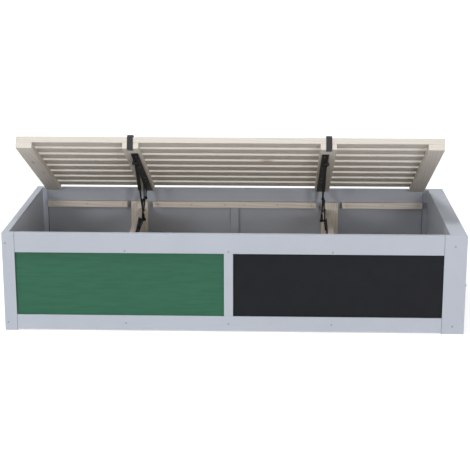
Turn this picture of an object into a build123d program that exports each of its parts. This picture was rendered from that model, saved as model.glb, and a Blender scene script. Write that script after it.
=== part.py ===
from build123d import *
import math
import os

os.makedirs("parts", exist_ok=True)

# Storage bed with a lifting slatted base, in millimetres.
# The origin is on the floor under the middle of the bed: X along the length, Y to the back, Z up.

# Box
inner_length = 2032
inner_depth = 912
frame_thickness = 28
left_wall = 31
right_wall = 77
box_height = 472
ground_gap = 6.5
left_post_width = 58
right_post_width = 104
top_rail_height = 92
bottom_rail_height = 70
stile_width = 42
panel_thickness = 8
panel_setback = 8
groove_depth = 6
groove_play = 0.2
tenon_stop = 12
frame_arris = 0.6

# Supports inside the box
ledger_height = 31
ledger_top = 405
side_ledger = (565, 986)
middle_ledger_half = 430
upright_span = (457, 545)
strap_notch = (457, 478)
strap_notch_depth = 9
divider_span = (474, 502)
divider_top = 370
cleat_size = 28
cleat_bottom = 27
bearer_width = 28
bearer_centres = (0, 488, 744)
floor_thickness = 9
floor_play = 1
floor_seam = 488
wood_arris = 1

# Slatted base
base_length = 1980
base_depth = 876
slat_count = 8
slat_width = 75
slat_thickness = 28
cross_rail_width = 75
cross_rail_thickness = 28
inner_cross_rail = (420, 495)
outer_cross_rail = (915, 990)
slat_arris = 1.2

# Slatted base, raised (as built) and lowered
raised_front = 152.6
raised_height = 894.6
raised_tilt = 25.71
lowered_front_gap = 6
lowered_rest_gap = 0.5

# Lift linkage: pivots on the slatted base as distance back and distance below its front top edge,
# and how far the fixed pivot lies from the middle between the two end positions
rear_arm_pivot = (832.2, 104.9)
rear_arm_offset = -69.3
front_arm_pivot = (736.6, 138.4)
front_arm_offset = -223.9
front_arm_knee = (705, 358)
spring_top_pivot = (180, 80)
spring_foot = (600, 388)
arm_width = 18
arm_plane = (463.5, 468.5)
pivot_radius = 4
pivot_play = 0.05
loose_pivot_play = 1.2
pivot_head_radius = 7
thin_head = 1

# Fixed bracket on each divider
bracket_plane = (470, 474)
bracket_bar_height = 340
bracket_bar_ends = (384, 856)
bracket_bar_width = 24
bracket_brace_foot = 716
bracket_screw_stations = (400, 560, 700, 845)
boss_radius = 12

# Bracket under the slatted base
ear_plane = (458, 462)
flange_inner = 430
flange_thickness = 4
flange_ends = (86, 860)
ear_lip = 6
ear_width = 20
rear_ear_feet = (806, 846)
front_ear_feet = (690, 738)
spring_ear_feet = (168, 192)
flange_screw_stations = (130, 340, 560, 640)

# Gas spring
spring_line = 447
spring_eye_radius = 8
spring_eye_width = 8
cylinder_radius = 9
cylinder_bore = 7.5
cylinder_length = 216
cylinder_gland = 12
cylinder_cap = 8
cylinder_neck = 14
rod_radius = 4
piston_radius = 7.4
piston_length = 10
piston_margin = 5
rod_socket_radius = 6
rod_socket_length = 40
eye_boss_radius = 6
eye_boss_end = 457.3
foot_head = (438, 442.8)
foot_washer = (451.2, 455)
foot_nut = (459, 463)
foot_nut_radius = 6

# Screws and bolts
screw_radius = 2
screw_head_radius = 4
screw_head_depth = 2
screw_play = 0.05
long_screw = 42
short_screw = 24
ledger_screw_drop = 14.5
side_ledger_screws = (588, 776, 962)
middle_ledger_screws = (52, 226, 403)
bolt_radius = 3
bolt_head_radius = 4.6
bolt_head_depth = 4
bolt_head_proud = 0.5
bolt_length = 50
wall_bolt_length = 90
top_bolt_height = 390
bottom_bolt_height = 41
rail_bolt_station = 479
left_wall_bolts = ((15.5, 423), (15.5, 40))
right_wall_bolts = ((23, 422), (23, 38))
side_bolt_height = 235
side_bolt_head = 4
side_bolt_head_radius = 5
side_bolt_length = 60

# Pull loops
loop_centre = 458
loop_width = 27.5
loop_thickness = 2.6
loop_gap = 0.3
loop_rise = 14
loop_tail = 25
loop_back = 84

# Limits that follow from the sizes above
outer_depth = inner_depth + 2 * frame_thickness
outer_length = left_wall + inner_length + right_wall
x_left = -(outer_length + side_bolt_head) / 2
x_right = x_left + outer_length
x_bay_left = x_left + left_wall
x_bay_right = x_right - right_wall
middle = (x_bay_left + x_bay_right) / 2
front_face = -outer_depth / 2
rail_top = ground_gap + bottom_rail_height
top_rail_bottom = box_height - top_rail_height
ledger_bottom = ledger_top - ledger_height
cleat_top = cleat_bottom + cleat_size
floor_top = cleat_top + floor_thickness
base_thickness = slat_thickness + cross_rail_thickness
slat_pitch = (base_depth - slat_width) / (slat_count - 1)
groove = (panel_setback, panel_setback + panel_thickness)


# Helpers for limits: sides are -1 for left or front and 1 for right or back
def span(start, end):
    """The two limits of a stretch, smaller first."""
    return (min(start, end), max(start, end))


def along(side, start, end):
    """Stretch of X between two distances from the middle of the bay."""
    return span(middle + side * start, middle + side * end)


def across(side, start, end):
    """Stretch of Y between two depths behind the outer face of the front or back."""
    return span(side * (outer_depth / 2 - start), side * (outer_depth / 2 - end))


# Helpers for shapes, used inside the part being built
def block(x, y, z, mode=Mode.ADD):
    """Rectangular shape between the limits x, y and z."""
    with BuildSketch(Plane.XY.offset(z[0])) as outline:
        with Locations((sum(x) / 2, sum(y) / 2)):
            Rectangle(x[1] - x[0], y[1] - y[0])
    extrude(outline.sketch, amount=z[1] - z[0], mode=mode)


def board(x, y, z, arris=wood_arris):
    """Board between the limits x, y and z, with its corners broken."""
    block(x, y, z)
    chamfer(edges(Select.LAST), arris)


def rod(plane, points, radius, length, mode=Mode.ADD):
    """Round bars or bores from points on a plane, along its normal."""
    with BuildSketch(plane) as outline:
        with Locations(*points):
            Circle(radius)
    extrude(outline.sketch, amount=length, mode=mode)


def screws(plane, points, length):
    """Countersunk screws driven into a plane against its normal."""
    rod(plane, points, screw_radius, -length)
    for point in points:
        with BuildSketch(plane) as face:
            with Locations(point):
                Circle(screw_head_radius)
        extrude(face.sketch, amount=-screw_head_depth, taper=45)


def screw_holes(plane, points, length):
    """Matching holes for screws driven into a plane."""
    rod(plane, points, screw_radius + screw_play, -length, mode=Mode.SUBTRACT)
    for point in points:
        with BuildSketch(plane) as face:
            with Locations(point):
                Circle(screw_head_radius)
        extrude(face.sketch, amount=-screw_head_depth, taper=45, mode=Mode.SUBTRACT)


def link(start, end, width):
    """Bar outline with round ends about two points, in the sketch being drawn."""
    run = (end[0] - start[0], end[1] - start[1])
    with Locations(((start[0] + end[0]) / 2, (start[1] + end[1]) / 2)):
        SlotCenterToCenter(math.hypot(*run), width, math.degrees(math.atan2(run[1], run[0])))


def save(piece, name):
    """Label a finished part and write it to its own file."""
    piece.part.label = name
    export_step(piece.part, f"parts/{name}.step")


# Places on the slatted base, for a pose given as front edge, height and tilt
raised = (front_face + raised_front, raised_height, raised_tilt)
lowered = (
    front_face + frame_thickness + lowered_front_gap,
    ledger_top + lowered_rest_gap + base_thickness,
    0,
)


def on_base(pose, point):
    """Y and Z of a point that lies back from and below the front top edge."""
    back, below = point
    cos = math.cos(math.radians(pose[2]))
    sin = math.sin(math.radians(pose[2]))
    return (pose[0] + back * cos - below * sin, pose[1] - back * sin - below * cos)


def fixed_pivot(point, offset):
    """Pivot in the box at one distance from both end positions of a point on the base."""
    low = on_base(lowered, point)
    high = on_base(raised, point)
    rise = (high[0] - low[0], high[1] - low[1])
    length = math.hypot(*rise)
    return (
        (low[0] + high[0]) / 2 + offset * rise[1] / length,
        (low[1] + high[1]) / 2 - offset * rise[0] / length,
    )


def base_plane(below):
    """Plane parallel to the slats, with its own Y running back along them."""
    sin = math.sin(math.radians(raised_tilt))
    cos = math.cos(math.radians(raised_tilt))
    y, z = on_base(raised, (0, below))
    return Plane(origin=(middle, y, z), x_dir=(1, 0, 0), z_dir=(0, sin, cos))


def base_side(side, distance):
    """Upright plane along the slatted base; its own X runs back and its Y runs up from the top edge."""
    sin = math.sin(math.radians(raised_tilt))
    cos = math.cos(math.radians(raised_tilt))
    origin = (middle + side * distance, raised[0], raised[1])
    return Plane(origin=origin, x_dir=(0, cos, -sin), z_dir=(1, 0, 0))


def side_plane(side, distance):
    """Upright plane across the box at a distance from the middle."""
    return Plane.YZ.offset(middle + side * distance)


def face_plane(side, depth):
    """Upright plane parallel to the front; its normal points out of the box on that side."""
    y = side * (outer_depth / 2 - depth)
    return Plane(origin=(0, y, 0), x_dir=(1, 0, 0), z_dir=(0, side, 0))


def face_point(side, x, z):
    """Point on a face plane, whose own Y runs up at the front and down at the back."""
    return (x, z) if side < 0 else (x, -z)


rear_arm_high = on_base(raised, rear_arm_pivot)
front_arm_high = on_base(raised, front_arm_pivot)
spring_top = on_base(raised, spring_top_pivot)
rear_arm_foot = fixed_pivot(rear_arm_pivot, rear_arm_offset)
front_arm_foot = fixed_pivot(front_arm_pivot, front_arm_offset)
spring_bottom = (front_face + spring_foot[0], spring_foot[1])

# Bolt places on a long face, as X and Z
left_wall_marks = [(x_left + x, z) for x, z in left_wall_bolts]
right_wall_marks = [(x_bay_right + x, z) for x, z in right_wall_bolts]
wall_marks = left_wall_marks + right_wall_marks
rail_stations = [middle - rail_bolt_station, middle, middle + rail_bolt_station]
top_marks = [(x, top_bolt_height) for x in rail_stations]
bottom_marks = [(x, bottom_bolt_height) for x in rail_stations]


def bolt_holes(side, marks, length):
    """Bores for bolts that go in from a long face, with a wider seat for the head."""
    points = [face_point(side, x, z) for x, z in marks]
    plane = face_plane(side, 0)
    rod(plane, points, bolt_radius + screw_play, -length, mode=Mode.SUBTRACT)
    rod(plane, points, bolt_head_radius, -bolt_head_depth, mode=Mode.SUBTRACT)


# Long frames, front and back
for side, where in ((-1, "front"), (1, "rear")):
    # Post at the left end, grooved for the rails and the panel
    with BuildPart() as left_post:
        x = (x_left, x_left + left_post_width)
        board(x, across(side, 0, frame_thickness), (0, box_height), frame_arris)
        block(
            (x[1] - groove_depth, x[1]),
            across(side, *groove),
            (ground_gap + tenon_stop, box_height - tenon_stop),
            mode=Mode.SUBTRACT,
        )
        bolt_holes(side, left_wall_marks, frame_thickness)
    save(left_post, f"{where}_left_post")

    # Wider post at the right end, with a bolt let in from its outer side
    with BuildPart() as right_post:
        x = (x_right - right_post_width, x_right)
        board(x, across(side, 0, frame_thickness), (0, box_height), frame_arris)
        block(
            (x[0], x[0] + groove_depth),
            across(side, *groove),
            (ground_gap + tenon_stop, box_height - tenon_stop),
            mode=Mode.SUBTRACT,
        )
        bolt_holes(side, right_wall_marks, frame_thickness)
        side_bolt_place = (side * (outer_depth - frame_thickness) / 2, side_bolt_height)
        rod(
            Plane.YZ.offset(x_right),
            [side_bolt_place],
            bolt_radius + screw_play,
            -side_bolt_length,
            mode=Mode.SUBTRACT,
        )
    save(right_post, f"{where}_right_post")

    rail_ends = (x_left + left_post_width, x_right - right_post_width)
    tenon_ends = (rail_ends[0] - groove_depth, rail_ends[1] + groove_depth)

    # Top rail with end tenons and a groove below
    with BuildPart() as top_rail:
        board(rail_ends, across(side, 0, frame_thickness), (top_rail_bottom, box_height), frame_arris)
        block(
            tenon_ends,
            across(side, *groove),
            (top_rail_bottom + frame_arris, box_height - tenon_stop),
        )
        block(
            tenon_ends,
            across(side, *groove),
            (top_rail_bottom, top_rail_bottom + groove_depth),
            mode=Mode.SUBTRACT,
        )
        bolt_holes(side, top_marks, frame_thickness)
        inside = face_plane(-side, outer_depth - frame_thickness)
        stations = [s * x for s in (-1, 1) for x in side_ledger_screws + middle_ledger_screws]
        points = [face_point(-side, middle + x, ledger_top - ledger_screw_drop) for x in stations]
        rod(inside, points, screw_radius + screw_play, -(long_screw - frame_thickness), mode=Mode.SUBTRACT)
    save(top_rail, f"{where}_top_rail")

    # Bottom rail with end tenons and a groove above
    with BuildPart() as bottom_rail:
        board(rail_ends, across(side, 0, frame_thickness), (ground_gap, rail_top), frame_arris)
        block(
            tenon_ends,
            across(side, *groove),
            (ground_gap + tenon_stop, rail_top - frame_arris),
        )
        block(
            tenon_ends,
            across(side, *groove),
            (rail_top - groove_depth, rail_top),
            mode=Mode.SUBTRACT,
        )
        bolt_holes(side, bottom_marks, frame_thickness)
    save(bottom_rail, f"{where}_bottom_rail")

    # Centre stile, tenoned into both rails and grooved on both edges
    with BuildPart() as stile:
        x = along(1, -stile_width / 2, stile_width / 2)
        board(x, across(side, 0, frame_thickness), (rail_top, top_rail_bottom), frame_arris)
        block(
            (x[0] + groove_depth, x[1] - groove_depth),
            across(side, *groove),
            (rail_top - groove_depth, top_rail_bottom + groove_depth),
        )
        for edge in ((x[0], x[0] + groove_depth), (x[1] - groove_depth, x[1])):
            block(edge, across(side, *groove), (rail_top, top_rail_bottom), mode=Mode.SUBTRACT)
    save(stile, f"{where}_centre_stile")

    # Two thin panels that stand in the grooves
    panel_height = (rail_top - groove_depth, top_rail_bottom + groove_depth - groove_play)
    panel_depth = across(side, groove[0] + groove_play, groove[1])
    with BuildPart() as left_panel:
        reach = groove_depth - groove_play
        block((rail_ends[0] - reach, middle - stile_width / 2 + reach), panel_depth, panel_height)
    save(left_panel, "green_panel" if side < 0 else "rear_left_panel")

    with BuildPart() as right_panel:
        block((middle + stile_width / 2 - reach, rail_ends[1] + reach), panel_depth, panel_height)
    save(right_panel, "black_panel" if side < 0 else "rear_right_panel")

# End walls between the posts
wall_y = (-inner_depth / 2, inner_depth / 2)
wall_z = (ground_gap, box_height)
for name, x, marks in (
    ("left_end_wall", (x_left, x_bay_left), left_wall_marks),
    ("right_end_wall", (x_bay_right, x_right), right_wall_marks),
):
    with BuildPart() as end_wall:
        board(x, wall_y, wall_z, frame_arris)
        for side in (-1, 1):
            bolt_holes(side, marks, wall_bolt_length)
    save(end_wall, name)

# Ledgers that carry the lowered base, screwed to the top rails
for side, where in ((-1, "front"), (1, "rear")):
    ledger_y = across(side, frame_thickness, 2 * frame_thickness)
    inside = face_plane(-side, outer_depth - 2 * frame_thickness)
    screw_z = ledger_top - ledger_screw_drop

    with BuildPart() as middle_ledger:
        x = along(1, -middle_ledger_half, middle_ledger_half)
        board(x, ledger_y, (ledger_bottom, ledger_top))
        stations = [s * x for s in (-1, 1) for x in middle_ledger_screws]
        points = [face_point(-side, middle + x, screw_z) for x in stations]
        screw_holes(inside, points, frame_thickness)
        bolt_holes(side, [top_marks[1]], bolt_length)
    save(middle_ledger, f"{where}_middle_ledger")

    with BuildPart() as side_ledgers:
        for s in (-1, 1):
            board(along(s, *side_ledger), ledger_y, (ledger_bottom, ledger_top))
        stations = [s * x for s in (-1, 1) for x in side_ledger_screws]
        points = [face_point(-side, middle + x, screw_z) for x in stations]
        screw_holes(inside, points, frame_thickness)
    save(side_ledgers, f"{where}_side_ledgers")

    # Uprights between the ledgers; the front ones are notched under the pull loops
    with BuildPart() as uprights:
        for s in (-1, 1):
            board(along(s, *upright_span), ledger_y, (floor_top, ledger_top))
        if side < 0:
            for s in (-1, 1):
                notch_z = (ledger_top - strap_notch_depth, ledger_top)
                block(along(s, *strap_notch), ledger_y, notch_z, mode=Mode.SUBTRACT)
        bolt_holes(side, [top_marks[0], top_marks[2]], bolt_length)
    save(uprights, f"{where}_uprights")

# Ledger screws
with BuildPart() as ledger_screws:
    for side in (-1, 1):
        inside = face_plane(-side, outer_depth - 2 * frame_thickness)
        stations = [s * x for s in (-1, 1) for x in side_ledger_screws + middle_ledger_screws]
        screw_z = ledger_top - ledger_screw_drop
        points = [face_point(-side, middle + x, screw_z) for x in stations]
        screws(inside, points, long_screw)
save(ledger_screws, "ledger_screws")

# Bolts through the long frames into the walls, uprights, middle ledgers and cleats
with BuildPart() as frame_bolts:
    for side in (-1, 1):
        plane = face_plane(side, 0)
        proud = face_plane(side, -bolt_head_proud)
        for marks, length in (
            (wall_marks, wall_bolt_length),
            (top_marks, bolt_length),
            (bottom_marks, bolt_length),
        ):
            points = [face_point(side, x, z) for x, z in marks]
            rod(plane, points, bolt_radius, -length)
            rod(proud, points, bolt_head_radius, -(bolt_head_depth + bolt_head_proud))
        place = (side * (outer_depth - frame_thickness) / 2, side_bolt_height)
        rod(Plane.YZ.offset(x_right), [place], bolt_radius, -side_bolt_length)
        rod(Plane.YZ.offset(x_right), [place], side_bolt_head_radius, side_bolt_head)
save(frame_bolts, "frame_bolts")

# Dividers that stand on the floor of the box
divider_y = (-(inner_depth / 2 - frame_thickness), inner_depth / 2 - frame_thickness)
for side, where in ((-1, "left"), (1, "right")):
    with BuildPart() as divider:
        board(along(side, *divider_span), divider_y, (floor_top, divider_top))
        points = [(front_face + y, bracket_bar_height) for y in bracket_screw_stations]
        reach = -side * (short_screw - (bracket_plane[1] - bracket_plane[0]))
        rod(
            side_plane(side, divider_span[0]),
            points,
            screw_radius + screw_play,
            -reach,
            mode=Mode.SUBTRACT,
        )
    save(divider, f"{where}_divider")

# Floor of the box: cleats, bearers and three loose panels
with BuildPart() as floor_cleats:
    for side in (-1, 1):
        cleat_y = across(side, frame_thickness, frame_thickness + cleat_size)
        board((x_bay_left, x_bay_right), cleat_y, (cleat_bottom, cleat_top))
        bolt_holes(side, bottom_marks, bolt_length)
save(floor_cleats, "floor_cleats")

with BuildPart() as floor_bearers:
    for station in sorted({s * x for s in (-1, 1) for x in bearer_centres}):
        x = along(1, station - bearer_width / 2, station + bearer_width / 2)
        board(x, divider_y, (cleat_bottom, cleat_top))
save(floor_bearers, "floor_bearers")

floor_y = (-inner_depth / 2 + floor_play, inner_depth / 2 - floor_play)
with BuildPart() as centre_floor_panel:
    half = floor_seam - floor_play / 2
    block(along(1, -half, half), floor_y, (cleat_top, floor_top))
save(centre_floor_panel, "centre_floor_panel")

with BuildPart() as floor_side_panels:
    for side in (-1, 1):
        x = along(side, floor_seam + floor_play / 2, inner_length / 2 - floor_play)
        block(x, floor_y, (cleat_top, floor_top))
save(floor_side_panels, "floor_side_panels")

# Slats
slat_face = base_plane(0)
cross_stations = [
    s * sum(limits) / 2 for s in (-1, 1) for limits in (inner_cross_rail, outer_cross_rail)
]
for number in range(slat_count):
    with BuildPart() as slat:
        back = slat_width / 2 + number * slat_pitch
        with BuildSketch(base_plane(slat_thickness)) as outline:
            with Locations((0, back)):
                Rectangle(base_length, slat_width)
        extrude(outline.sketch, amount=slat_thickness)
        chamfer(slat.edges(), slat_arris)
        screw_holes(slat_face, [(x, back) for x in cross_stations], slat_thickness)
    save(slat, f"slat_{number + 1}")

# Cross rails under the slats
slat_centres = [slat_width / 2 + number * slat_pitch for number in range(slat_count)]


def cross_rail(side, limits):
    """Rail that runs back under all the slats, with the slat screws let into it."""
    centre = side * sum(limits) / 2
    with BuildSketch(base_plane(base_thickness)) as outline:
        with Locations((centre, base_depth / 2)):
            Rectangle(cross_rail_width, base_depth)
    extrude(outline.sketch, amount=cross_rail_thickness)
    chamfer(edges(Select.LAST), slat_arris)
    depth = long_screw - slat_thickness
    holes = [(centre, back) for back in slat_centres]
    rod(base_plane(slat_thickness), holes, screw_radius + screw_play, -depth, mode=Mode.SUBTRACT)


for side, where in ((-1, "left"), (1, "right")):
    with BuildPart() as inner_rail:
        cross_rail(side, inner_cross_rail)
        flange_middle = (flange_inner + ear_plane[0]) / 2
        holes = [(side * flange_middle, back) for back in flange_screw_stations]
        depth = short_screw - flange_thickness
        rod(base_plane(base_thickness), holes, screw_radius + screw_play, depth, mode=Mode.SUBTRACT)
    save(inner_rail, f"{where}_inner_cross_rail")

with BuildPart() as outer_rails:
    for side in (-1, 1):
        cross_rail(side, outer_cross_rail)
save(outer_rails, "outer_cross_rails")

with BuildPart() as slat_screws:
    places = [(x, back) for x in cross_stations for back in slat_centres]
    screws(slat_face, places, long_screw)
save(slat_screws, "slat_screws")

# Fixed brackets: a flat truss on the inner face of each divider that carries three pivots
for side, where in ((-1, "left"), (1, "right")):
    thickness = side * (bracket_plane[1] - bracket_plane[0])
    bar = [(front_face + y, bracket_bar_height) for y in bracket_bar_ends]
    brace_foot = (front_face + bracket_brace_foot, bracket_bar_height)
    riser_foot = (rear_arm_foot[0], bracket_bar_height)
    stations = [(front_face + y, bracket_bar_height) for y in bracket_screw_stations]
    with BuildPart() as bracket:
        with BuildSketch(side_plane(side, bracket_plane[0])) as outline:
            link(bar[0], bar[1], bracket_bar_width)
            link(bar[0], spring_bottom, bracket_bar_width)
            link(spring_bottom, brace_foot, bracket_bar_width)
            link(rear_arm_foot, riser_foot, bracket_bar_width)
            with Locations(front_arm_foot):
                Circle(boss_radius)
            with Locations(front_arm_foot, rear_arm_foot, spring_bottom):
                Circle(pivot_radius + pivot_play, mode=Mode.SUBTRACT)
        extrude(outline.sketch, amount=thickness)
        facing = side_plane(side, bracket_plane[0])
        for point in stations:
            with BuildSketch(facing) as seat:
                with Locations(point):
                    Circle(screw_head_radius)
            extrude(seat.sketch, amount=side * screw_head_depth, taper=45, mode=Mode.SUBTRACT)
        rod(facing, stations, screw_radius + screw_play, thickness, mode=Mode.SUBTRACT)
    save(bracket, f"{where}_base_bracket")

with BuildPart() as bracket_screws:
    for side in (-1, 1):
        facing = side_plane(side, bracket_plane[0])
        stations = [(front_face + y, bracket_bar_height) for y in bracket_screw_stations]
        rod(facing, stations, screw_radius, side * short_screw)
        for point in stations:
            with BuildSketch(facing) as head:
                with Locations(point):
                    Circle(screw_head_radius)
            extrude(head.sketch, amount=side * screw_head_depth, taper=45)
save(bracket_screws, "bracket_screws")

# Pivots fixed in the brackets: arm pivots with thin heads, and the gas spring's foot pin
with BuildPart() as bracket_pins:
    for side in (-1, 1):
        head_face = arm_plane[0] - 0.1 - thin_head
        arms = [front_arm_foot, rear_arm_foot]
        rod(side_plane(side, head_face), arms, pivot_head_radius, side * thin_head)
        rod(side_plane(side, head_face), arms, pivot_radius, side * (bracket_plane[1] - head_face))
        foot = [spring_bottom]
        pin_length = side * (bracket_plane[1] - foot_head[0])
        rod(side_plane(side, foot_head[0]), foot, pivot_radius, pin_length)
        for limits, radius in (
            (foot_head, pivot_head_radius),
            (foot_washer, foot_nut_radius),
            (foot_nut, foot_nut_radius),
        ):
            rod(side_plane(side, limits[0]), foot, radius, side * (limits[1] - limits[0]))
save(bracket_pins, "bracket_pins")

# Lift arms: a straight rear arm and a dog-legged front arm that passes under the spring's foot
for side, where in ((-1, "left"), (1, "right")):
    thickness = side * (arm_plane[1] - arm_plane[0])
    knee = (front_face + front_arm_knee[0], front_arm_knee[1])
    with BuildPart() as rear_arm:
        with BuildSketch(side_plane(side, arm_plane[0])) as outline:
            link(rear_arm_foot, rear_arm_high, arm_width)
            with Locations(rear_arm_foot, rear_arm_high):
                Circle(pivot_radius + pivot_play, mode=Mode.SUBTRACT)
        extrude(outline.sketch, amount=thickness)
    save(rear_arm, f"{where}_rear_arm")

    with BuildPart() as front_arm:
        with BuildSketch(side_plane(side, arm_plane[0])) as outline:
            link(front_arm_foot, knee, arm_width)
            link(knee, front_arm_high, arm_width)
            with Locations(front_arm_foot):
                Circle(pivot_radius + pivot_play, mode=Mode.SUBTRACT)
            with Locations(front_arm_high):
                Circle(pivot_radius + loose_pivot_play, mode=Mode.SUBTRACT)
        extrude(outline.sketch, amount=thickness)
    save(front_arm, f"{where}_front_arm")

# Brackets under the inner cross rails: an angle with three ears that hang down to the pivots
lip = -(base_thickness + flange_thickness + ear_lip)
for side, where in ((-1, "left"), (1, "right")):
    thickness = side * (ear_plane[1] - ear_plane[0])
    ears = (
        (rear_ear_feet, rear_arm_pivot),
        (front_ear_feet, front_arm_pivot),
        (spring_ear_feet, spring_top_pivot),
    )
    pivots = [(back, -below) for back, below in (rear_arm_pivot, front_arm_pivot, spring_top_pivot)]
    with BuildPart() as upper_bracket:
        with BuildSketch(base_side(side, ear_plane[0])) as outline:
            with Locations((sum(flange_ends) / 2, (lip - base_thickness) / 2)):
                Rectangle(flange_ends[1] - flange_ends[0], -lip - base_thickness)
            for feet, pivot in ears:
                for foot in feet:
                    link((foot, lip + ear_width / 2), (pivot[0], -pivot[1]), ear_width)
            with Locations((sum(flange_ends) / 2, -base_thickness / 2)):
                Rectangle(flange_ends[1] - flange_ends[0], base_thickness, mode=Mode.SUBTRACT)
            with Locations(*pivots):
                Circle(pivot_radius + pivot_play, mode=Mode.SUBTRACT)
        extrude(outline.sketch, amount=thickness)
        flange = span(side * flange_inner, side * ear_plane[0])
        with BuildSketch(base_plane(base_thickness + flange_thickness)) as flange_outline:
            with Locations((sum(flange) / 2, sum(flange_ends) / 2)):
                Rectangle(flange[1] - flange[0], flange_ends[1] - flange_ends[0])
        extrude(flange_outline.sketch, amount=flange_thickness)
        underside = Plane(
            origin=base_plane(base_thickness + flange_thickness).origin,
            x_dir=(1, 0, 0),
            z_dir=-base_plane(0).z_dir,
        )
        holes = [(sum(flange) / 2, -back) for back in flange_screw_stations]
        screw_holes(underside, holes, flange_thickness)
    save(upper_bracket, f"{where}_upper_bracket")

with BuildPart() as upper_bracket_screws:
    for side in (-1, 1):
        flange_middle = side * (flange_inner + ear_plane[0]) / 2
        screws(underside, [(flange_middle, -back) for back in flange_screw_stations], short_screw)
save(upper_bracket_screws, "upper_bracket_screws")

# Pivots carried by the upper brackets
with BuildPart() as base_pins:
    outer_head = arm_plane[1] + 0.1
    inner_head = ear_plane[0] - flange_thickness
    for side in (-1, 1):
        arms = [rear_arm_high, front_arm_high]
        rod(side_plane(side, inner_head), arms, pivot_head_radius, side * flange_thickness)
        rod(side_plane(side, inner_head), arms, pivot_radius, side * (outer_head - inner_head))
        rod(side_plane(side, outer_head), arms, pivot_head_radius, side * thin_head)
        spring = [spring_top]
        rod(side_plane(side, ear_plane[0]), spring, pivot_radius, side * (ear_plane[1] - ear_plane[0]))
        rod(side_plane(side, ear_plane[1]), spring, pivot_head_radius, side * flange_thickness)
save(base_pins, "base_pins")

# Gas springs, drawn at full length along the line from the foot pin to the top pivot
spring_run = (spring_top[0] - spring_bottom[0], spring_top[1] - spring_bottom[1])
spring_length = math.hypot(*spring_run)


def spring_plane(side, distance):
    """Plane across the gas spring at a distance from its foot pin."""
    share = distance / spring_length
    origin = (
        middle + side * spring_line,
        spring_bottom[0] + share * spring_run[0],
        spring_bottom[1] + share * spring_run[1],
    )
    return Plane(origin=origin, x_dir=(1, 0, 0), z_dir=(0, *spring_run))


gland_end = spring_length - cylinder_length
piston_start = gland_end + cylinder_gland + piston_margin
cap_start = spring_length - cylinder_neck - cylinder_cap
eye_inner = spring_line - spring_eye_width / 2
for side, where in ((-1, "left"), (1, "right")):
    with BuildPart() as gas_rod:
        rod(side_plane(side, eye_inner), [spring_bottom], spring_eye_radius, side * spring_eye_width)
        rod(spring_plane(side, 0), [(0, 0)], rod_socket_radius - 2, rod_socket_length)
        rod(spring_plane(side, spring_eye_radius), [(0, 0)], rod_socket_radius, rod_socket_length)
        rod(spring_plane(side, 0), [(0, 0)], rod_radius, piston_start + piston_length)
        rod(spring_plane(side, piston_start), [(0, 0)], piston_radius, piston_length)
        rod(
            side_plane(side, foot_head[1]),
            [spring_bottom],
            pivot_radius + pivot_play,
            side * (foot_nut[1] - foot_head[1]),
            mode=Mode.SUBTRACT,
        )
    save(gas_rod, f"{where}_gas_rod")

    with BuildPart() as gas_cylinder:
        rod(spring_plane(side, gland_end), [(0, 0)], cylinder_radius, cylinder_length - cylinder_neck)
        bore_start = gland_end + cylinder_gland
        rod(
            spring_plane(side, bore_start),
            [(0, 0)],
            cylinder_bore,
            cap_start - bore_start,
            mode=Mode.SUBTRACT,
        )
        rod(
            spring_plane(side, gland_end),
            [(0, 0)],
            rod_radius + pivot_play,
            cylinder_gland,
            mode=Mode.SUBTRACT,
        )
        rod(spring_plane(side, cap_start), [(0, 0)], rod_socket_radius, cylinder_neck + cylinder_cap)
        rod(side_plane(side, eye_inner), [spring_top], spring_eye_radius, side * spring_eye_width)
        rod(side_plane(side, spring_line), [spring_top], eye_boss_radius, side * (eye_boss_end - spring_line))
    save(gas_cylinder, f"{where}_gas_cylinder")

# Pull loops of webbing around the front slat and the front end of each inner cross rail
for side, where in ((-1, "left"), (1, "right")):
    stand_off = loop_gap + loop_thickness / 2
    under = base_thickness + stand_off
    with BuildPart() as pull_loop:
        with BuildSketch(base_side(side, loop_centre - loop_width / 2)) as band:
            with BuildLine():
                path = Polyline((loop_tail, -under), (-stand_off, -under), (-stand_off, -slat_arris))
                arch = Spline(
                    (-stand_off, -slat_arris),
                    (slat_width * 0.3, loop_rise - loop_thickness / 2),
                    (slat_width * 0.75, loop_rise * 0.8),
                    (loop_back, -slat_thickness / 3),
                    tangents=((0, 1), (0, -1)),
                )
                Line(arch @ 1, (loop_back, -(slat_thickness - stand_off)))
            trace(line_width=loop_thickness)
        extrude(band.sketch, amount=side * loop_width)
    save(pull_loop, f"{where}_pull_loop")
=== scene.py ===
import bpy
import math
from mathutils import Matrix, Vector


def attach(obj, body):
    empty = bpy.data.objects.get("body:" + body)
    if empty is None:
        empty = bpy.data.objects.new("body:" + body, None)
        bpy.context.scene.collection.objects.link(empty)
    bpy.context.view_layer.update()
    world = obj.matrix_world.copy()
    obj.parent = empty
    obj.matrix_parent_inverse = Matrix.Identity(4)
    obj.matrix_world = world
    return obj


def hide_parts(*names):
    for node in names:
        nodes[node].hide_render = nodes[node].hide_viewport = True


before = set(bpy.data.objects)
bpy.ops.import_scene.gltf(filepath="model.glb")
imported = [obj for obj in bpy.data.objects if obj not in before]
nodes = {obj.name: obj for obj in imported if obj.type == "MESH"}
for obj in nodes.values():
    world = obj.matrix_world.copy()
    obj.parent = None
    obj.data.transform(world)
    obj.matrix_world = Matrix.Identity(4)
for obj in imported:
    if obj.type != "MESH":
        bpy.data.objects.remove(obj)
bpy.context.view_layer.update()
scene = bpy.context.scene

# Sizes of the bed that this script uses, in metres
MIDDLE = -0.025
FRONT_FACE = -0.484
TILT = math.radians(25.71)
BASE_FRONT = (FRONT_FACE + 0.1526, 0.8946)
SLAT = 0.028
BASE_THICKNESS = 0.056
POST_JOINTS = (-1.014, 0.964)
JOINT_HALF = 0.0008

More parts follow.
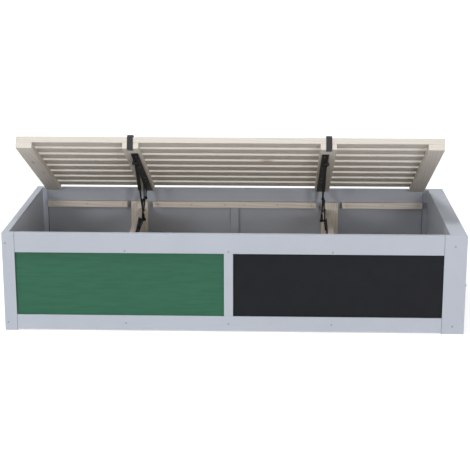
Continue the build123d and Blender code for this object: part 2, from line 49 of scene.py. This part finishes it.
# Webbing loops: place, section, clearance from the wood and height over the first slat
LOOP_CENTRE = 0.458
LOOP_WIDTH = 0.0275
LOOP_THICKNESS = 0.0024
LOOP_GAP = 0.0022
LOOP_CREST = {"left": 0.0128, "right": 0.0125}
LOOP_LEAN = 0.0015
LOOP_RIPPLE = 0.00035
LOOP_RIPPLES = 9.0
LOOP_STEPS = 6

# A loop's section: places across its width, and the share of its thickness at each
LOOP_ACROSS = (-0.5, -0.44, -0.3, 0.0, 0.3, 0.44, 0.5)
LOOP_SWELL = (0.25, 0.75, 1.0, 1.06, 1.0, 0.75, 0.25)

FLOAT = "NodeSocketFloat"
COLOUR = "NodeSocketColor"
VECTOR = "NodeSocketVector"


# Colours are written as sRGB and turned into the linear values that nodes take
def paint(code):
    """Linear colour of a six-figure sRGB code."""
    parts = [int(code[i:i + 2], 16) / 255 for i in (0, 2, 4)]
    return [c / 12.92 if c <= 0.04045 else ((c + 0.055) / 1.055) ** 2.4 for c in parts] + [1.0]


# Short ways to place and link shader nodes
def place(tree, kind, **settings):
    """New node in a tree, with its properties set."""
    made = tree.nodes.new(kind)
    for name, value in settings.items():
        setattr(made, name, value)
    return made


def give(tree, socket, value):
    """Links another node's socket, or writes a plain value, into an input."""
    if isinstance(value, bpy.types.NodeSocket):
        tree.links.new(value, socket)
    else:
        socket.default_value = value


def feed(tree, made, **inputs):
    """Gives values to a node's named inputs."""
    for name, value in inputs.items():
        give(tree, made.inputs[name.replace("_", " ")], value)
    return made


def new_group(name, inputs, outputs):
    """Shader node group with named inputs and outputs."""
    tree = bpy.data.node_groups.new(name, "ShaderNodeTree")
    for label, kind, value in inputs:
        socket = tree.interface.new_socket(label, in_out="INPUT", socket_type=kind)
        if value is not None:
            socket.default_value = value
    for label, kind in outputs:
        tree.interface.new_socket(label, in_out="OUTPUT", socket_type=kind)
    return tree, place(tree, "NodeGroupInput"), place(tree, "NodeGroupOutput")


def noise(tree, vector, scale, detail, roughness=0.5):
    """Noise texture on given coordinates."""
    made = place(tree, "ShaderNodeTexNoise")
    feed(tree, made, Vector=vector, Scale=scale, Detail=detail, Roughness=roughness)
    return made.outputs["Fac"]


def stretch_vector(tree, vector, scale):
    """Coordinates multiplied by a scale for each axis."""
    made = place(tree, "ShaderNodeVectorMath", operation="MULTIPLY")
    tree.links.new(vector, made.inputs[0])
    made.inputs[1].default_value = scale
    return made.outputs["Vector"]


def maths(tree, operation, first, second=0.0):
    """Result of one operation on two values."""
    made = place(tree, "ShaderNodeMath", operation=operation)
    give(tree, made.inputs[0], first)
    give(tree, made.inputs[1], second)
    return made.outputs["Value"]


def sum_of(tree, first, second, share):
    """First value plus a share of the second."""
    made = place(tree, "ShaderNodeMath", operation="MULTIPLY_ADD")
    tree.links.new(second, made.inputs[0])
    made.inputs[1].default_value = share
    tree.links.new(first, made.inputs[2])
    return made.outputs["Value"]


def limits(tree, value, low, high, to_low=0.0, to_high=1.0):
    """Value moved from one range to another and held inside it."""
    made = place(tree, "ShaderNodeMapRange", clamp=True)
    tree.links.new(value, made.inputs["Value"])
    for name, number in (("From Min", low), ("From Max", high), ("To Min", to_low), ("To Max", to_high)):
        made.inputs[name].default_value = number
    return made.outputs["Result"]


def blend_colours(tree, factor, first, second):
    """Mix of two colours."""
    made = place(tree, "ShaderNodeMix", data_type="RGBA")
    for socket, value in ((made.inputs[0], factor), (made.inputs[6], first), (made.inputs[7], second)):
        give(tree, socket, value)
    return made.outputs[2]


# Grain of sawn softwood; its coordinates run along the board on their own X
WANDER_SCALE = (1.3, 6.0, 6.0)
RING_SCALE = (1.6, 42.0, 42.0)
FIBRE_SCALE = (14.0, 620.0, 620.0)
KNOT_SCALE = (2.6, 11.0, 11.0)
KNOT_COLOUR = "7A5A3E"
KNOT_SHARE = 0.55


def build_grain():
    """Node group for the colour, height and fibre of softwood."""
    tree, gin, gout = new_group(
        "softwood_grain",
        (
            ("Vector", VECTOR, None),
            ("Light Wood", COLOUR, (0.7, 0.6, 0.5, 1)),
            ("Dark Wood", COLOUR, (0.5, 0.4, 0.3, 1)),
            ("Contrast", FLOAT, 0.5),
        ),
        (("Color", COLOUR), ("Height", FLOAT), ("Fibre", FLOAT)),
    )
    vector = gin.outputs["Vector"]
    wander = noise(tree, stretch_vector(tree, vector, WANDER_SCALE), 1.0, 2.0)
    rings = place(tree, "ShaderNodeTexWave", wave_type="BANDS", bands_direction="DIAGONAL")
    ring_vector = stretch_vector(tree, vector, RING_SCALE)
    feed(tree, rings, Vector=ring_vector, Scale=1.0, Distortion=5.0, Detail=2.0, Detail_Scale=0.7)
    fibre = noise(tree, stretch_vector(tree, vector, FIBRE_SCALE), 1.0, 4.0, 0.6)
    stripes = sum_of(tree, rings.outputs["Fac"], fibre, 0.55)
    stripes = sum_of(tree, stripes, wander, 0.5)
    mask = limits(tree, stripes, 0.45, 1.55)
    shade = maths(tree, "MULTIPLY", mask, gin.outputs["Contrast"])
    wood = blend_colours(tree, shade, gin.outputs["Light Wood"], gin.outputs["Dark Wood"])
    knots = place(tree, "ShaderNodeTexVoronoi", feature="F1")
    feed(tree, knots, Vector=stretch_vector(tree, vector, KNOT_SCALE), Scale=1.0, Randomness=1.0)
    knot = limits(tree, knots.outputs["Distance"], 0.035, 0.11, 1.0, 0.0)
    wood = blend_colours(tree, maths(tree, "MULTIPLY", knot, KNOT_SHARE), wood, paint(KNOT_COLOUR))
    feed(tree, gout, Color=wood, Height=sum_of(tree, fibre, mask, -0.35), Fibre=fibre)
    return tree


# Skin of sprayed or rolled paint: a faint orange peel and a slow change of tone
PEEL_SCALE = 420.0


def build_coat():
    """Node group for the colour, height and patches of paint."""
    tree, gin, gout = new_group(
        "paint_skin",
        (
            ("Vector", VECTOR, None),
            ("Tone", COLOUR, (0.5, 0.5, 0.5, 1)),
            ("Patch Tone", COLOUR, (0.4, 0.4, 0.4, 1)),
            ("Patch Scale", FLOAT, 8.0),
            ("Patch Share", FLOAT, 0.2),
        ),
        (("Color", COLOUR), ("Height", FLOAT), ("Patch", FLOAT)),
    )
    vector = gin.outputs["Vector"]
    peel = noise(tree, vector, PEEL_SCALE, 3.0)
    patch = noise(tree, vector, gin.outputs["Patch Scale"], 4.0, 0.62)
    mask = limits(tree, patch, 0.35, 0.65)
    share = maths(tree, "MULTIPLY", mask, gin.outputs["Patch Share"])
    tone = blend_colours(tree, share, gin.outputs["Tone"], gin.outputs["Patch Tone"])
    feed(tree, gout, Color=tone, Height=peel, Patch=mask)
    return tree


# Fine dark lines where boards meet, at two places along X
def build_joints():
    """Node group for a mask that is 1 on the joints."""
    tree, gin, gout = new_group(
        "joint_lines",
        (
            ("Vector", VECTOR, None),
            ("Left Joint", FLOAT, -1.0),
            ("Right Joint", FLOAT, 1.0),
            ("Half Width", FLOAT, 0.001),
        ),
        (("Mask", FLOAT),),
    )
    parts = feed(tree, place(tree, "ShaderNodeSeparateXYZ"), Vector=gin.outputs["Vector"])
    lines = []
    for label in ("Left Joint", "Right Joint"):
        away = maths(tree, "SUBTRACT", parts.outputs["X"], gin.outputs[label])
        distance = maths(tree, "ABSOLUTE", away)
        lines.append(maths(tree, "LESS_THAN", distance, gin.outputs["Half Width"]))
    feed(tree, gout, Mask=maths(tree, "MAXIMUM", lines[0], lines[1]))
    return tree


GRAIN = build_grain()
COAT = build_coat()
JOINTS = build_joints()


# Parts that every material shares
def new_material(name):
    """Material with a fresh node tree: itself, the tree, the surface shader and object coordinates."""
    material = bpy.data.materials.new(name)
    material.use_nodes = True
    tree = material.node_tree
    surface = tree.nodes["Principled BSDF"]
    coordinates = place(tree, "ShaderNodeTexCoord").outputs["Object"]
    return material, tree, surface, coordinates


def bump(tree, surface, height, strength, distance):
    """Bump on the surface from a height."""
    made = place(tree, "ShaderNodeBump")
    feed(tree, made, Height=height, Strength=strength, Distance=distance)
    feed(tree, surface, Normal=made.outputs["Normal"])


# Turns that lay each board's length along the grain's own X
ALONG_X = (0, 0, 0)
ALONG_Y = (0, 0, math.radians(-90))
ALONG_Z = (0, math.radians(90), 0)
LEVEL_BASE = (TILT, 0, 0)


def wood_material(name, light, dark, turn, contrast, roughness, rail=False):
    """Bare softwood with grain along the board; a rail's coordinates are first turned level."""
    material, tree, surface, coordinates = new_material(name)
    if rail:
        level = place(tree, "ShaderNodeMapping", vector_type="POINT")
        feed(tree, level, Vector=coordinates, Rotation=LEVEL_BASE)
        coordinates = level.outputs["Vector"]
    mapping = place(tree, "ShaderNodeMapping", vector_type="POINT")
    feed(tree, mapping, Vector=coordinates, Rotation=turn)
    grain = place(tree, "ShaderNodeGroup", node_tree=GRAIN)
    feed(tree, grain, Vector=mapping.outputs["Vector"], Contrast=contrast)
    feed(tree, grain, Light_Wood=paint(light), Dark_Wood=paint(dark))
    rough = limits(tree, grain.outputs["Fibre"], 0.3, 0.7, roughness - 0.06, roughness + 0.08)
    feed(tree, surface, Base_Color=grain.outputs["Color"], Roughness=rough, Specular_IOR_Level=0.35)
    bump(tree, surface, grain.outputs["Height"], 0.35, 0.0006)
    return material


JOINT_SHADE = "565A63"


def painted_material(
    name, tone, patch, patch_scale, patch_share, roughness, shine=0.25, brush=None, joints=None
):
    """Satin paint, with brush strokes where a stretch is given and dark lines at the joints."""
    material, tree, surface, coordinates = new_material(name)
    coat = place(tree, "ShaderNodeGroup", node_tree=COAT)
    strokes = stretch_vector(tree, coordinates, brush) if brush else coordinates
    feed(tree, coat, Vector=strokes, Tone=paint(tone), Patch_Tone=paint(patch))
    feed(tree, coat, Patch_Scale=patch_scale, Patch_Share=patch_share)
    colour = coat.outputs["Color"]
    if joints:
        seams = place(tree, "ShaderNodeGroup", node_tree=JOINTS)
        feed(tree, seams, Vector=coordinates, Half_Width=JOINT_HALF)
        feed(tree, seams, Left_Joint=joints[0], Right_Joint=joints[1])
        colour = blend_colours(tree, seams.outputs["Mask"], colour, paint(JOINT_SHADE))
    rough = limits(tree, coat.outputs["Patch"], 0.0, 1.0, roughness - 0.05, roughness + 0.05)
    feed(tree, surface, Base_Color=colour, Roughness=rough, Specular_IOR_Level=shine)
    bump(tree, surface, coat.outputs["Height"], 0.12, 0.0004)
    return material


def metal_material(name, tone, patch, roughness, metallic):
    """Plated or coated steel with fine patches."""
    material = painted_material(name, tone, patch, 60.0, 0.35, roughness)
    material.node_tree.nodes["Principled BSDF"].inputs["Metallic"].default_value = metallic
    return material


RIB_SCALE = 260.0
PICK_SCALE = 170.0
FUZZ_SCALE = 900.0


def webbing_material():
    """Black woven webbing, with its weave laid on the band's own coordinates."""
    material, tree, surface, coordinates = new_material("black_webbing")
    weave = place(tree, "ShaderNodeUVMap", uv_map="weave").outputs["UV"]
    ribs = place(tree, "ShaderNodeTexWave", wave_type="BANDS", bands_direction="X")
    feed(tree, ribs, Vector=weave, Scale=RIB_SCALE, Distortion=0.6, Detail=1.0)
    picks = place(tree, "ShaderNodeTexWave", wave_type="BANDS", bands_direction="Y")
    feed(tree, picks, Vector=weave, Scale=PICK_SCALE, Distortion=0.8, Detail=1.0)
    cloth = sum_of(tree, ribs.outputs["Fac"], picks.outputs["Fac"], 0.8)
    cloth = sum_of(tree, cloth, noise(tree, coordinates, FUZZ_SCALE, 3.0), 0.4)
    mask = limits(tree, cloth, 0.3, 1.9)
    colour = blend_colours(tree, mask, paint("101012"), paint("2E2E32"))
    feed(tree, surface, Base_Color=colour, Roughness=limits(tree, mask, 0.0, 1.0, 0.95, 0.75))
    surface.inputs["Sheen Weight"].default_value = 0.25
    bump(tree, surface, cloth, 0.6, 0.0005)
    return material


# Finishes of this bed
grey = painted_material("grey_paint", "B4B9C3", "ADB2BD", 5.0, 0.35, 0.5, joints=POST_JOINTS)
bolt_paint = painted_material("bolt_paint", "979A9F", "8B8E93", 60.0, 0.5, 0.4)
green = painted_material("green_paint", "2C6049", "24503C", 3.0, 0.5, 0.45, brush=(3.0, 8.0, 36.0))
black = painted_material("black_paint", "191A1E", "151619", 14.0, 0.5, 0.5, 0.12)
slat_wood = wood_material("slat_softwood", "CDC8C0", "BAB1A5", ALONG_X, 0.4, 0.62)
rail_wood = wood_material("rail_softwood", "D0CAC2", "BAB1A5", ALONG_Y, 0.4, 0.62, rail=True)
board_x = wood_material("pale_board_lengthways", "E6DED3", "CBBEB0", ALONG_X, 0.5, 0.6)
board_y = wood_material("pale_board_crossways", "E6DED3", "CBBEB0", ALONG_Y, 0.5, 0.6)
board_z = wood_material("pale_board_upright", "E6DED3", "CBBEB0", ALONG_Z, 0.5, 0.6)
fibreboard = painted_material("floor_fibreboard", "C9BFB2", "B9AE9F", 90.0, 0.5, 0.7)
black_steel = metal_material("black_steel", "1E1E20", "29292C", 0.42, 0.0)
zinc = metal_material("zinc_steel", "C4C6C8", "A8AAAD", 0.34, 1.0)
rod_steel = metal_material("dark_rod", "26262A", "303034", 0.25, 0.6)
webbing = webbing_material()


def material_for(name):
    """Finish of a CAD node."""
    if name == "green_panel":
        return green
    if name == "black_panel":
        return black
    if name == "frame_bolts":
        return bolt_paint
    if name.endswith(("_post", "_top_rail", "_bottom_rail", "_stile", "_end_wall")):
        return grey
    if name in ("rear_left_panel", "rear_right_panel"):
        return grey
    if name.endswith("_screws"):
        return zinc
    if name.startswith("slat_"):
        return slat_wood
    if "cross_rail" in name:
        return rail_wood
    if "ledger" in name or name == "floor_cleats":
        return board_x
    if "upright" in name:
        return board_z
    if "divider" in name or name == "floor_bearers":
        return board_y
    if "floor" in name:
        return fibreboard
    if name.endswith("gas_rod"):
        return rod_steel
    return black_steel


for name, thing in nodes.items():
    finish = material_for(name)
    if not thing.material_slots:
        thing.data.materials.append(finish)
    for slot in thing.material_slots:
        slot.material = finish


# Pull loops
def on_base(back, above):
    """Y and Z of a point back from and above the front top edge of the slatted base."""
    cos, sin = math.cos(TILT), math.sin(TILT)
    return (BASE_FRONT[0] + back * cos + above * sin, BASE_FRONT[1] - back * sin + above * cos)


def smooth_line(points, steps):
    """Points along a smooth line through the given points."""
    line = []
    for i in range(len(points) - 1):
        before = points[max(i - 1, 0)]
        start, end = points[i], points[i + 1]
        after = points[min(i + 2, len(points) - 1)]
        for step in range(steps):
            t = step / steps
            line.append(tuple(
                0.5 * (2 * b + (c - a) * t + (2 * a - 5 * b + 4 * c - d) * t * t
                       + (3 * b - a - 3 * c + d) * t ** 3)
                for a, b, c, d in zip(before, start, end, after)
            ))
    line.append(tuple(points[-1]))
    return line


def loop_points(line, centre, lean):
    """Points of a loop's rings along a line of (back, above) points, and their weave coordinates."""
    verts, uvs = [], []
    length = 0.0
    for i, (back, above) in enumerate(line):
        ahead = line[min(i + 1, len(line) - 1)]
        behind = line[max(i - 1, 0)]
        along = Vector((ahead[0] - behind[0], ahead[1] - behind[1])).normalized()
        normal = Vector((-along.y, along.x))
        if i:
            length += math.dist(line[i], line[i - 1])
        share = i / (len(line) - 1)
        shift = lean * math.sin(math.pi * share)
        wave = LOOP_RIPPLE * math.sin(LOOP_RIPPLES * share * math.pi)
        for outer in (1, -1):
            for offset, swell in zip(LOOP_ACROSS, LOOP_SWELL):
                x = MIDDLE + centre + LOOP_WIDTH * offset + shift
                reach = outer * LOOP_THICKNESS / 2 * swell + wave * math.cos(math.pi * offset)
                y, z = on_base(back + normal.x * reach, above + normal.y * reach)
                verts.append((x, y, z))
                uvs.append((LOOP_WIDTH * offset, length))
    return verts, uvs


def loop_faces(count):
    """Faces between a loop's rings, with a cap at each end."""
    rows = len(LOOP_ACROSS)
    ring = 2 * rows
    faces = []
    for i in range(count - 1):
        a, b = i * ring, (i + 1) * ring
        for j in range(rows - 1):
            faces.append((a + j, a + j + 1, b + j + 1, b + j))
            faces.append((a + rows + j + 1, a + rows + j, b + rows + j, b + rows + j + 1))
        faces.append((a + rows, a, b, b + rows))
        faces.append((a + rows - 1, a + ring - 1, b + ring - 1, b + rows - 1))
    for start in (0, (count - 1) * ring):
        for j in range(rows - 1):
            cap = (start + j + 1, start + j, start + rows + j, start + rows + j + 1)
            faces.append(cap if start == 0 else cap[::-1])
    return faces


def loop_route(crest):
    """Path from under the cross rail, up the front, over the first slat and down behind it."""
    under = -BASE_THICKNESS - LOOP_GAP
    return (
        (0.025, under),
        (0.012, under),
        (0.002, under),
        (-LOOP_GAP, -BASE_THICKNESS + 0.001),
        (-LOOP_GAP, -BASE_THICKNESS + 0.02),
        (-LOOP_GAP, -SLAT),
        (-LOOP_GAP, -0.006),
        (0.0015, 0.0055),
        (0.016, crest),
        (0.040, crest),
        (0.062, 0.0085),
        (0.078, 0.001),
        (0.0835, -0.009),
        (0.084, -0.018),
        (0.084, -SLAT + 0.002),
    )


def webbing_loop(where, side):
    """Flat woven band with soft edges and a slight lean."""
    line = smooth_line(loop_route(LOOP_CREST[where]), LOOP_STEPS)
    verts, uvs = loop_points(line, side * LOOP_CENTRE, side * LOOP_LEAN)
    name = f"{where}_webbing_loop"
    mesh = bpy.data.meshes.new(name)
    mesh.from_pydata(verts, [], loop_faces(len(line)))
    layer = mesh.uv_layers.new(name="weave")
    for corner in mesh.loops:
        layer.data[corner.index].uv = uvs[corner.vertex_index]
    for polygon in mesh.polygons:
        polygon.use_smooth = True
    mesh.materials.append(webbing)
    piece = bpy.data.objects.new(name, mesh)
    scene.collection.objects.link(piece)
    return piece


for side, where in ((-1, "left"), (1, "right")):
    loop = webbing_loop(where, side)
    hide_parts(f"{where}_pull_loop")
    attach(loop, "slatted_base")


# Floor and backdrop: white to the camera, and a plain pale floor that keeps the shadow
FLOOR_REACH = 30.0
FLOOR_DROP = 0.0005
FLOOR_COLOUR = (0.8, 0.8, 0.8, 1)
WHITE = (1.0, 1.0, 1.0, 1)
GLOW_BY_THE_BED = 0.64
GLOW_FROM, GLOW_TO = 1.6, 6.0
SKY_LIGHT = 0.21


def white_rays(tree):
    """1 for rays from the camera, and for those that a mirror or glass sends on."""
    rays = place(tree, "ShaderNodeLightPath").outputs
    mirrored = maths(tree, "MAXIMUM", rays["Is Glossy Ray"], rays["Is Transmission Ray"])
    return maths(tree, "MAXIMUM", rays["Is Camera Ray"], mirrored)


def floor_material():
    """Pale floor whose glow to the camera rises away from the bed."""
    material, tree, surface, coordinates = new_material("white_floor")
    feed(tree, surface, Base_Color=FLOOR_COLOUR, Roughness=0.9, Specular_IOR_Level=0.0)
    distance = place(tree, "ShaderNodeVectorMath", operation="LENGTH")
    tree.links.new(coordinates, distance.inputs[0])
    glow = limits(tree, distance.outputs["Value"], GLOW_FROM, GLOW_TO, GLOW_BY_THE_BED, 1.0)
    strength = maths(tree, "MULTIPLY", white_rays(tree), glow)
    feed(tree, surface, Emission_Color=WHITE, Emission_Strength=strength)
    return material


floor_mesh = bpy.data.meshes.new("floor")
corners = [(x * FLOOR_REACH, y * FLOOR_REACH, 0) for x, y in ((-1, -1), (1, -1), (1, 1), (-1, 1))]
floor_mesh.from_pydata(corners, [], [(0, 1, 2, 3)])
floor_mesh.materials.append(floor_material())
floor = bpy.data.objects.new("floor", floor_mesh)
floor.location.z = -FLOOR_DROP
scene.collection.objects.link(floor)


# World: even light on the bed, white where the camera sees it
def light_world():
    """World with a background for light and a white one for the picture."""
    world = bpy.data.worlds.new("studio")
    scene.world = world
    world.use_nodes = True
    tree = world.node_tree
    tree.nodes.clear()
    sky = feed(tree, place(tree, "ShaderNodeBackground"), Color=WHITE, Strength=SKY_LIGHT)
    white = feed(tree, place(tree, "ShaderNodeBackground"), Color=WHITE, Strength=1.0)
    mix = place(tree, "ShaderNodeMixShader")
    tree.links.new(white_rays(tree), mix.inputs[0])
    tree.links.new(sky.outputs["Background"], mix.inputs[1])
    tree.links.new(white.outputs["Background"], mix.inputs[2])
    feed(tree, place(tree, "ShaderNodeOutputWorld"), Surface=mix.outputs["Shader"])


light_world()

# Square lamps, each aimed at the middle of the bed: name, place, size and power
AIM = (0, 0, 0.45)
LAMPS = (
    ("low_left", (-4.5, -6.0, 1.6), 1.3, 66),
    ("low_right", (3.0, -6.5, 1.5), 1.3, 124),
    ("left", (-5.0, -4.2, 3.2), 2.0, 90),
    ("right", (4.2, -2.6, 3.8), 2.0, 45),
    ("high", (-0.8, -1.7, 6.0), 1.5, 190),
)

for name, where, size, power in LAMPS:
    data = bpy.data.lights.new(name, "AREA")
    data.shape = "SQUARE"
    data.size = size
    data.energy = power
    lamp = bpy.data.objects.new(name, data)
    lamp.location = where
    lamp.rotation_euler = (Vector(AIM) - Vector(where)).to_track_quat("-Z", "Y").to_euler()
    scene.collection.objects.link(lamp)

# Camera at the photograph's place
CAMERA_PLACE = (0.1805, -6.3194, 2.0303)
YAW = math.radians(-1.72)
PITCH = math.radians(14.96)
forward = Vector((math.sin(YAW) * math.cos(PITCH), math.cos(YAW) * math.cos(PITCH), -math.sin(PITCH)))
right = Vector((math.cos(YAW), -math.sin(YAW), 0))
upward = right.cross(forward)
camera_data = bpy.data.cameras.new("camera")
camera_data.sensor_width = 36
camera_data.lens = 101.09
camera_data.clip_end = 100
camera = bpy.data.objects.new("camera", camera_data)
axes = Matrix((right, upward, -forward)).transposed().to_4x4()
camera.matrix_world = Matrix.Translation(CAMERA_PLACE) @ axes
scene.collection.objects.link(camera)
scene.camera = camera
scene.view_settings.view_transform = "Standard"
